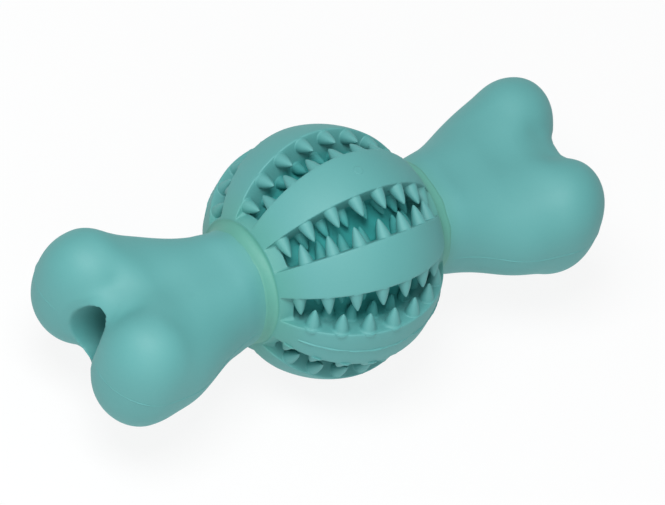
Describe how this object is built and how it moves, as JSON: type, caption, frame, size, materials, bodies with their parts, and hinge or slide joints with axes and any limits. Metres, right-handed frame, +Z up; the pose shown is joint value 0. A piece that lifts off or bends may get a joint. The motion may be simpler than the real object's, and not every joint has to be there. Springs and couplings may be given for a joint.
{
  "type": "rubber chew toy",
  "caption": "Bone-shaped dog chew toy in rubber, with a grooved ball at its middle whose grooves carry cone-shaped teeth, and a channel through the bone for treats.",
  "frame": {"origin": "centre of the ball, midway between the ends of the bone", "axes": "+Y along the bone, +Z up along the normal of the parting plane, +X across the two lobes of each end"},
  "size_m": [0.0658, 0.1548, 0.065],
  "materials": {
    "bone_rubber": "satin",
    "ball_rubber": "satin",
    "rubber_cement": "satin"
  },
  "bodies": {
    "root": {"bone_upper_shell": "bone_rubber", "bone_lower_shell": "bone_rubber", "ball_upper_half": "ball_rubber", "ball_lower_half": "ball_rubber", "left_neck_bond": "rubber_cement", "right_neck_bond": "rubber_cement", "near_seam_bead": "ball_rubber", "far_seam_bead": "ball_rubber"}
  },
  "joints": []
}
